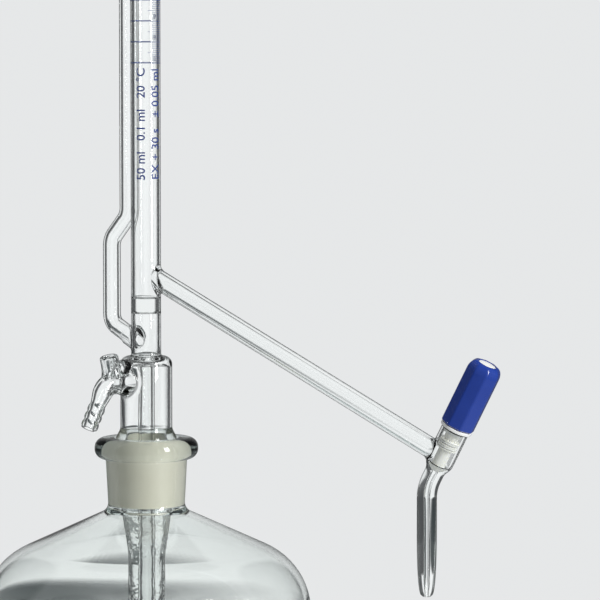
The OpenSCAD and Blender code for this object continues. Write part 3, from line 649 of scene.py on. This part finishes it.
# %% Nozzle
NOZZLE_TURN, NOZZLE_HEIGHT = 250, 207.2
NOZZLE_BEND, NOZZLE_DROP, BEND_STEPS, RIDGES = 9, 62, 18, 3


def head_wall(height):
    """Radius of the head, with its rounded shoulder."""
    over = min(max(height - HEAD_TOP + HEAD_ROUND, 0), HEAD_ROUND - 0.01)
    return HEAD_RADIUS - HEAD_ROUND + math.sqrt(HEAD_ROUND ** 2 - over * over)


def nozzle_path(tube, waist, root, ridge):
    """The narrowing bend and the ridged end of the nozzle."""
    wide = tube.radius
    for k in range(1, BEND_STEPS + 1):
        tube.bend(NOZZLE_BEND, NOZZLE_DROP / BEND_STEPS, 1).size(wide + (waist - wide) * k / BEND_STEPS)
    tube.run(2, waist * 0.7 + root * 0.3).run(2, waist * 0.3 + root * 0.7).run(2, root)
    for _ in range(RIDGES):
        tube.run(1.4, ridge).run(1.4, ridge).run(1.2, root)
    return tube


nozzle_root = at(z=NOZZLE_HEIGHT, turn=NOZZLE_TURN, lean=90)
nozzle = nozzle_path(Tube(nozzle_root @ up(19.5), 5.5), 4.7, 3.6, 4.1).cap().turn_back()
nozzle.run(2.4, 5.8).run(2.0, 6.5)
solids["nozzle"] = nozzle.weld(COLUMN_FRAME, head_wall, sink=0.9, spread=5.2, climb=2.2).done()
nozzle_bore = Tube(nozzle_root @ up(8), 3.0).run(11.5)
bores["nozzle"] = nozzle_path(nozzle_bore, 3.0, 2.2, 2.2).run(2).closed()
print("nozzle", len(solids["nozzle"].faces), "faces")

# %% Finger vent
VENT_OUT, VENT_LEAN, VENT_RADIUS, VENT_BORE, VENT_LIP = 20.2, 14, 4.4, 2.6, 1.0
STAY_HEIGHT, STAY_OUT, STAY_RADIUS = 213.9, 19, 3.7
vent_root = at(z=NOZZLE_HEIGHT, turn=NOZZLE_TURN) @ at(x=VENT_OUT, z=-0.267, lean=VENT_LEAN)
vent = Tube(vent_root, VENT_RADIUS).run(3.9, 5.3).run(1.2, 4.95).run(1.2, 4.65).run(1.5, 4.45)
vent.run(1.4, VENT_RADIUS).run(3.2).round_off(VENT_LIP, VENT_LIP, 6)
solids["vent"] = vent.closed()
stay = Tube(at(z=STAY_HEIGHT, turn=NOZZLE_TURN, lean=90) @ up(STAY_OUT), STAY_RADIUS).cap().turn_back()
stay.run(2.8, 3.6).run(1.0, 3.8)
solids["vent_stay"] = stay.weld(COLUMN_FRAME, head_wall, sink=0.9, spread=0.7, climb=1.0).done()
bores["vent"] = Tube(vent_root, VENT_BORE).run(12.6).run(1.2, 3.1).closed()
print("finger vent", len(solids["vent"].faces), "faces")

# %% [markdown]
# The arm slopes from the foot of the graduated tube to the valve, and the jet hangs plumb under it.
# Valve barrel and jet are one skin: down the outside to the tip, back up the bore, over the conical seat and
# out to the mouth, where the two ends are bridged.

# %% Arm
ARM_LENGTH, ARM_SLOPE, ARM_HEIGHT, ARM_RADIUS, ARM_BORE = 173, 27.4, 258.4, 4.8, 3.2
ARM_START, ARM_STOP, ARM_STEPS = 14, 10, 5
VALVE = at(x=153.592, z=178.785, lean=ARM_SLOPE)
VALVE_RADIUS, JET_RADIUS, TIP_RADIUS = 6.5, 4.6, 1.9
NECK_TOP, NECK_LENGTH = -3, 6


def valve_wall(height):
    """Radius of the valve barrel, which narrows under the seat."""
    share = min(max((height - NECK_TOP + NECK_LENGTH) / NECK_LENGTH, 0), 1)
    return JET_RADIUS + (VALVE_RADIUS - JET_RADIUS) * (1 - math.cos(math.pi * share)) / 2


arm_root = at(z=ARM_HEIGHT, lean=90 + ARM_SLOPE)
arm = Tube(arm_root @ up(ARM_START), ARM_RADIUS)
for _ in range(ARM_STEPS):
    arm.run((ARM_LENGTH - ARM_START - ARM_STOP) / ARM_STEPS)
arm.weld(VALVE, valve_wall, sink=0.85, spread=1.8, climb=2.0).turn_back()
solids["arm"] = arm.weld(COLUMN_FRAME, tube_wall, sink=0.7, spread=2.8, climb=3.0).done()
bores["arm"] = Tube(arm_root @ up(2), ARM_BORE).run(ARM_LENGTH - 4).closed()
print("arm", len(solids["arm"].faces), "faces")

# %% Valve barrel and jet
BARREL_MOUTH, BARREL_STEPS, NECK_STEPS = 13.9, 8, 8
JET_BEND, DRAW_LENGTH, DRAW_STEPS = 20, 30, 14
skin = Tube(VALVE @ up(BARREL_MOUTH) @ Matrix.Rotation(math.pi, 4, "X"), VALVE_RADIUS)
for _ in range(BARREL_STEPS):
    skin.run((BARREL_MOUTH - NECK_TOP) / BARREL_STEPS)
for k in range(1, NECK_STEPS + 1):
    skin.run(NECK_LENGTH / NECK_STEPS, valve_wall(NECK_TOP - NECK_LENGTH * k / NECK_STEPS))
skin.run(3.225).bend(JET_BEND, ARM_SLOPE, 12).run(15.175)
draw = []
for k in range(DRAW_STEPS + 1):
    share = k / DRAW_STEPS
    radius = TIP_RADIUS + (JET_RADIUS - TIP_RADIUS) * math.sqrt(1 - (1 - share) ** 2)
    draw.append((DRAW_LENGTH * share ** 1.3, radius))
for (height, radius), (above, _) in reversed(list(zip(draw, draw[1:]))):
    skin.run(above - height, radius)
skin.run(0.15, 1.6).run(0, 0.5).run(-6, 1.0).run(-39.325).bend(JET_BEND, ARM_SLOPE, 12, back=True).run(-5.225)
skin.run(-2.66, 3.3).run(-0.1, 4.4).run(-0.35, 4.8).run(-16.79)
bmesh.ops.bridge_loops(skin.bm, edges=skin.edges + skin.first[0])
solids["valve"] = skin.done()
print("valve tip at", [round(x / MM, 2) for x in min((v.co for v in skin.bm.verts), key=lambda p: p.z)])

# %% [markdown]
# The bulb breathes through a small bent vent, and three glass bridges hold the riser to the tube.
# A bridge is a small bar with its level edges bevelled, because the flame rounds what it melts.

# %% Bulb vent and bridges
SPOUT_HEIGHT, SPOUT_RADIUS, SPOUT_BORE, SPOUT_BEND, SPOUT_AROUND = 877.66, 3.0, 1.7, 6, 40
BRIDGE_HEIGHTS, BRIDGE_OUT, BRIDGE_SIZE, BRIDGE_SOFT = (427.9, 567.5, 707.1), 7.55, (2.3, 4.4, 6), 0.7


def bulb_wall(height):
    """Radius of the overflow bulb, where it is widest."""
    return BULB_RADIUS


def spout_path(start, radius, length):
    """A rod on the way of the bulb's bent vent."""
    tube = Tube(at(z=SPOUT_HEIGHT, lean=90) @ up(start), radius, SPOUT_AROUND)
    return tube.run(length).bend(SPOUT_BEND, 90, 14)


spout = spout_path(16.4, SPOUT_RADIUS, 2.1).run(4.6).run(0.4, 2.6).cap().turn_back()
solids["spout"] = spout.weld(COLUMN_FRAME, bulb_wall, sink=0.85, spread=1.6, climb=1.5).done()
bores["spout"] = spout_path(10, SPOUT_BORE, 8.5).run(6).closed()
for number, height in enumerate(BRIDGE_HEIGHTS):
    middle = at(turn=RISER_TURN) @ at(x=BRIDGE_OUT, z=height + BRIDGE_SIZE[2] / 2)
    bm = bmesh.new()
    bmesh.ops.create_cube(bm, size=1, matrix=middle @ Matrix.Diagonal([side * MM for side in BRIDGE_SIZE] + [1]))
    level = [edge for edge in bm.edges if abs((edge.verts[0].co - edge.verts[1].co).z) < 1 * MM]
    bmesh.ops.bevel(bm, geom=level, offset=BRIDGE_SOFT * MM, segments=3, profile=0.5, affect="EDGES", material=-1)
    solids[f"bridge_{number}"] = bm
print("solids", sorted(solids), "bores", sorted(bores))

# %% [markdown]
# Now the glassblower's flame: Boolean modifiers join the solids and cut the bores out of the whole.
# A remesh would melt the parts together too, but it would blur the thin walls and the narrow bores.

# %% Fuse the glass
SEAM_MERGE, SLIVER = 2e-6, 1e-6


def scratch(name, bm):
    """A helper object for a Boolean."""
    mesh = bpy.data.meshes.new(name)
    bm.to_mesh(mesh)
    bm.free()
    made = bpy.data.objects.new(name, mesh)
    scene.collection.objects.link(made)
    return made


def fuse(first, joined, cut):
    """Joins bmeshes with the first one, cuts others out, and gives the bmesh of the result."""
    whole = scratch("whole", first)
    helpers = [whole]
    for operation, parts in (("UNION", joined), ("DIFFERENCE", cut)):
        for name, bm in parts.items():
            helper = scratch(name, bm)
            helpers.append(helper)
            step = whole.modifiers.new(name, "BOOLEAN")
            step.operation, step.solver, step.object = operation, "MANIFOLD", helper
    ready = whole.evaluated_get(bpy.context.evaluated_depsgraph_get())
    made = bmesh.new()
    made.from_mesh(ready.data)
    for helper in helpers:
        bpy.data.objects.remove(helper)
    bmesh.ops.remove_doubles(made, verts=made.verts, dist=SEAM_MERGE)
    bmesh.ops.dissolve_degenerate(made, dist=SLIVER, edges=made.edges)
    return made


whole = fuse(solids.pop("column"), solids, bores)
print("open edges", sum(not edge.is_manifold for edge in whole.edges), "volume", whole.calc_volume() / MM ** 3)
piece("burette_glass", whole, (clear_glass,), "burette", "clear_glass",
      "head_chamber", "dip_tube", "nozzle_elbow", "hose_nozzle", "finger_vent", "riser_stem", "septum_plug",
      "riser_elbow", "riser_tube", "riser_crook", "tube_bridges", "burette_barrel", "zero_bulb", "zero_jet",
      "vent_spout", "side_arm", "valve_barrel", "outlet_bend", "delivery_jet")

# %% [markdown]
# The needle is turned from white fluoropolymer, which looks waxy and lets a little light in.
# Fine rings from the lathe run round it, so its bump is a wave along the valve's own axis.

# %% White finishes
UNDER_SKIN = (0.002, 0.002, 0.0018)


def valve_axis(tree):
    """Object coordinates turned into the valve's frame."""
    where = add(tree, "ShaderNodeTexCoord")
    return add(tree, "ShaderNodeMapping", [("Vector", where.outputs["Object"])], vector_type="TEXTURE",
               Location=VALVE.translation, Rotation=VALVE.to_euler()).outputs[0]


def white_finish(name, dark, pale, roughness, under, rings):
    """A white plastic with soft mottling, light under its skin and fine turned rings."""
    made, tree, shader = node_material(name)
    frame_of_valve = valve_axis(tree)
    cloud = add(tree, "ShaderNodeTexNoise", [("Vector", frame_of_valve)], Scale=180.0, Detail=3.0)
    tone(tree, shader, cloud.outputs["Fac"], dark, pale)
    shader.inputs["Roughness"].default_value = roughness
    shader.inputs["Subsurface Weight"].default_value = under
    shader.inputs["Subsurface Radius"].default_value = UNDER_SKIN
    ridges = add(tree, "ShaderNodeTexWave", [("Vector", frame_of_valve)], bands_direction="Z", Scale=rings)
    turned = add(tree, "ShaderNodeBump", [("Height", ridges.outputs["Fac"])], Strength=0.15, Distance=0.00005)
    tree.links.new(turned.outputs[0], shader.inputs["Normal"])
    return made


white_ptfe = white_finish("white_ptfe", (0.88, 0.865, 0.80, 1), (0.94, 0.93, 0.88, 1), 0.42, 0.4, 900)
white_plastic = white_finish("white_plastic", (0.82, 0.82, 0.80, 1), (0.88, 0.88, 0.86, 1), 0.28, 0.15, 160)
white_rubber = white_finish("white_rubber", (0.72, 0.72, 0.69, 1), (0.80, 0.80, 0.77, 1), 0.55, 0.1, 60)
print("white", [finish.name for finish in (white_ptfe, white_plastic, white_rubber)])

# %% [markdown]
# The knob is moulded in deep blue plastic with a polished skin.
# The colour varies a little with slow noise, as in any moulding, and a thin clear coat gives the sharp highlight.

# %% Blue plastic
blue_plastic, tree, shader = node_material("blue_plastic")
cloud = add(tree, "ShaderNodeTexNoise", [("Vector", valve_axis(tree))], Scale=120.0, Detail=4.0)
tone(tree, shader, cloud.outputs["Fac"], (0.005, 0.032, 0.26, 1), (0.009, 0.046, 0.34, 1))
tree.links.new(remap(tree, cloud.outputs["Fac"], ends_out=(0.24, 0.34)), shader.inputs["Roughness"])
shader.inputs["Coat Weight"].default_value = 0.8
shader.inputs["Coat Roughness"].default_value = 0.08
skin_bump = add(tree, "ShaderNodeBump", [("Height", cloud.outputs["Fac"])], Strength=0.08, Distance=0.0002)
tree.links.new(skin_bump.outputs[0], shader.inputs["Normal"])
print("blue", blue_plastic.name)

# %% [markdown]
# Nut, needle, seals and cap are lathe work in the valve's frame.
# The seals are rings of round section that sit in two grooves of the needle.

# %% Nut, needle, seals and cap
GLIDE, SHANK, GROOVE_FLOOR, GROOVE_HALF, GROOVES = 4.74, 3.4, 3.48, 0.7, (5.3, 7.3)
SEAL_MIDDLE, SEAL_HALF, SEAL_POINTS = 4.14, 0.58, 16
CAP_LOW, CAP_RADIUS = 43.5, 4.24
nut = [(3.46, 11.7), (GLIDE, 11.7, 0.3), (GLIDE, 13.93), (7.5, 13.93, 0.35), (7.5, 15.5, 0.5), (3.46, 15.5)]
piece("guide_nut_turned", lathe(bmesh.new(), outline(nut), VALVE, 72, ring=True), (white_plastic,), "burette",
      "white_plastic", "guide_nut")
needle = [(0, -7.02), (1, -7.02, 0.15), (3.2, -4.47, 0.3), (3.2, 4, 0.4), (GLIDE, 4, 0.3)]
for groove in GROOVES:
    low, high = groove - GROOVE_HALF, groove + GROOVE_HALF
    needle += [(GLIDE, low), (GROOVE_FLOOR, low), (GROOVE_FLOOR, high), (GLIDE, high)]
needle += [(GLIDE, 8.6, 0.3), (SHANK, 8.6), (SHANK, 35.8, 0.4), (0, 35.8)]
piece("needle", lathe(bmesh.new(), outline(needle), VALVE, 64), (white_ptfe,), "spindle", "white_ptfe",
      "valve_spindle")
bm = bmesh.new()
for groove in GROOVES:
    angles = [2 * math.pi * k / SEAL_POINTS for k in range(SEAL_POINTS)]
    section = [(SEAL_MIDDLE + SEAL_HALF * math.cos(a), groove + SEAL_HALF * math.sin(a)) for a in angles]
    lathe(bm, section, VALVE, 64, ring=True)
piece("needle_seals", bm, (white_rubber,), "spindle", "seal_rubber", "spindle_seals")
cap = [(0, CAP_LOW), (CAP_RADIUS, CAP_LOW, 0.2), (CAP_RADIUS, 47.75, 0.4), (0, 47.97)]
piece("cap_disc", lathe(bmesh.new(), outline(cap), VALVE, 64), (white_plastic,), "knob", "white_plastic",
      "knob_cap")

# %% [markdown]
# The knob is an eight-sided grip with soft edges and a rounded end.
# An octagon with rounded corners is extruded up, and the last steps shrink it along a quarter of an ellipse.
# The holes for the needle and the cap are cut as the bores of the glass were.

# %% Knob
KNOB_FOOT, KNOB_TOP, KNOB_CORNER, KNOB_ROUND, KNOB_INSET = 15.8, 48.0, 8.226, 5.0, 3.3
KNOB_TURN, KNOB_SOFT, KNOB_LIP = 34.5, 0.7, 0.5
knob = Tube(VALVE @ at(z=KNOB_FOOT, turn=KNOB_TURN), KNOB_CORNER - KNOB_LIP, 8)
bmesh.ops.bevel(knob.bm, geom=knob.ring() + knob.edges, offset=KNOB_SOFT * MM, segments=4, profile=0.5,
                affect="VERTICES", material=-1)
knob.edges = list(knob.bm.edges)
knob.first = (knob.edges, knob.place.copy(), knob.radius)
knob.run(KNOB_LIP, KNOB_CORNER).run(KNOB_TOP - KNOB_FOOT - KNOB_ROUND - KNOB_LIP)
solid_knob = knob.round_off(KNOB_ROUND, KNOB_INSET, 9).closed()
holes = {"needle_hole": Tube(VALVE @ up(KNOB_FOOT - 2), 3.46).run(22.3).closed(),
         "cap_hole": Tube(VALVE @ up(CAP_LOW), 4.3).run(6).closed()}
grip = piece("knob_grip", fuse(solid_knob, {}, holes), (blue_plastic,), "knob", "blue_plastic", "valve_knob",
             crease=28)
flats = grip.modifiers.new("flat_facets", "WEIGHTED_NORMAL")
flats.keep_sharp = True

# %% [markdown]
# The marks are blue enamel, printed on the tube and fired: a ring at each millilitre, short ticks between,
# and numbers. They are thin bands on the glass, because an image would not stay sharp from near by.
# The lettering of the photographed burette isn't copied; plain words for volume, division, temperature,
# waiting time and tolerance take its place.

# %% Ink
ink, tree, shader = node_material("blue_enamel")
where = add(tree, "ShaderNodeTexCoord")
speck = add(tree, "ShaderNodeTexNoise", [("Vector", where.outputs["Object"])], Scale=1500.0, Detail=2.0)
tone(tree, shader, speck.outputs["Fac"], (0.012, 0.03, 0.17, 1), (0.03, 0.07, 0.30, 1))
shader.inputs["Roughness"].default_value = 0.4
print("ink", ink.name)

# %% Rings and ticks
INK_LOW, INK_TOP = 7.11, 7.15
MILLILITRE, VOLUME = 9.797, 50
RING_THICK, TICK_THICK = 0.30, 0.18
TICKS_FACE, TICK_HALF, LONG_TICK_HALF = 0, 36, 52


def band(bm, height, thickness, middle=None, half=None):
    """A printed band round the tube, whole or only to both sides of an angle in degrees."""
    low, high = (height - thickness / 2, height + thickness / 2)
    section = [(INK_LOW, low), (INK_TOP, low), (INK_TOP, high), (INK_LOW, high)]
    place = Matrix.Rotation(0 if half is None else math.radians(middle - half), 4, "Z")
    verts = [bm.verts.new(place @ Vector((r * MM, 0, z * MM))) for r, z in section]
    edges = [bm.edges.new(pair) for pair in zip(verts, verts[1:] + verts[:1])]
    if half is None:
        bmesh.ops.spin(bm, geom=verts + edges, axis=UP, angle=2 * math.pi, steps=72, use_merge=True)
        return
    end = bmesh.ops.spin(bm, geom=verts + edges, axis=UP, angle=math.radians(2 * half), steps=8)["geom_last"]
    bm.faces.new(verts)
    bm.faces.new([part for part in end if isinstance(part, bmesh.types.BMVert)])


def row_of_marks(name, bm, count):
    """Repeats marks down the tube, once for each millilitre."""
    bmesh.ops.recalc_face_normals(bm, faces=bm.faces)
    made = piece(name, bm, (ink,), "burette", None)
    row = made.modifiers.new("each_millilitre", "ARRAY")
    row.count = count
    row.use_relative_offset, row.use_constant_offset = False, True
    row.constant_offset_displace = (0, 0, -MILLILITRE * MM)


bm = bmesh.new()
band(bm, ZERO_MARK, RING_THICK)
row_of_marks("millilitre_rings", bm, VOLUME + 1)
bm = bmesh.new()
for tenth in range(1, 10):
    half = LONG_TICK_HALF if tenth == 5 else TICK_HALF
    band(bm, ZERO_MARK - MILLILITRE * tenth / 10, TICK_THICK, TICKS_FACE, half)
row_of_marks("tenth_ticks", bm, VOLUME)

# %% [markdown]
# Lettering starts as a text curve, becomes a mesh, and is wrapped round the tube point by point.
# A Curve modifier could bend it too, but the mesh then keeps its own place, as every finished piece does.

# %% Numbers and print
NUMBERS_FACE, NUMBER_SIZE, NUMBER_RISE = 66, 3.4, 2.0
VIEW_FACE = math.degrees(VIEW_TURN) - 90
PRINT_SIZE, PRINT_HEIGHT = 6.0, 328.2
PRINT = {-15: "50 ml   0.1 ml   20 °C", 44: "EX + 30 s   ± 0.05 ml"}
LETTER_MERGE, LETTER_SPECK, LONGEST_EDGE = 0.0005, 1e-3, 0.9


def lettering(words, size):
    """A bmesh of flat words in millimetres, middle aligned, cut fine enough to be wrapped."""
    curve = bpy.data.curves.new("words", "FONT")
    curve.body = words
    curve.size = size
    curve.align_x, curve.align_y = "CENTER", "CENTER"
    curve.resolution_u = 3
    curve.offset = 0.06
    helper = bpy.data.objects.new("words", curve)
    made = bmesh.new()
    scene.collection.objects.link(helper)
    made.from_mesh(helper.to_mesh())
    helper.to_mesh_clear()
    bpy.data.objects.remove(helper)
    bmesh.ops.remove_doubles(made, verts=made.verts, dist=LETTER_MERGE)
    specks = [face for face in made.faces if face.calc_area() < LETTER_SPECK]
    bmesh.ops.delete(made, geom=specks, context="FACES")
    bmesh.ops.triangulate(made, faces=made.faces)
    for _ in range(3):
        long = [edge for edge in made.edges if edge.calc_length() > LONGEST_EDGE]
        bmesh.ops.subdivide_edges(made, edges=long, cuts=1)
        bmesh.ops.triangulate(made, faces=made.faces)
    return made


def wrap(words, size, height, face, upright=False):
    """Words on the tube round an angle in degrees, level or reading upward."""
    made = lettering(words, size)
    for vert in made.verts:
        across, rise = (-vert.co.y, vert.co.x) if upright else (vert.co.x, vert.co.y)
        angle = math.radians(face) + across / INK_TOP
        vert.co = Vector((INK_TOP * math.cos(angle), INK_TOP * math.sin(angle), height + rise)) * MM
    bmesh.ops.recalc_face_normals(made, faces=made.faces)
    mesh = bpy.data.meshes.new("words")
    made.to_mesh(mesh)
    made.free()
    return mesh


bm = bmesh.new()
for volume in range(VOLUME + 1):
    height = ZERO_MARK - MILLILITRE * volume + NUMBER_RISE
    bm.from_mesh(wrap(str(volume), NUMBER_SIZE, height, NUMBERS_FACE))
for turn, words in PRINT.items():
    bm.from_mesh(wrap(words, PRINT_SIZE, PRINT_HEIGHT, VIEW_FACE + turn, upright=True))
for face in bm.faces:
    spoke = face.calc_center_median()
    if face.normal.dot(Vector((spoke.x, spoke.y, 0))) < 0:
        face.normal_flip()
bmesh.ops.solidify(bm, geom=bm.faces, thickness=(INK_TOP - INK_LOW) * MM)
piece("numbers_and_print", bm, (ink,), "burette", None)
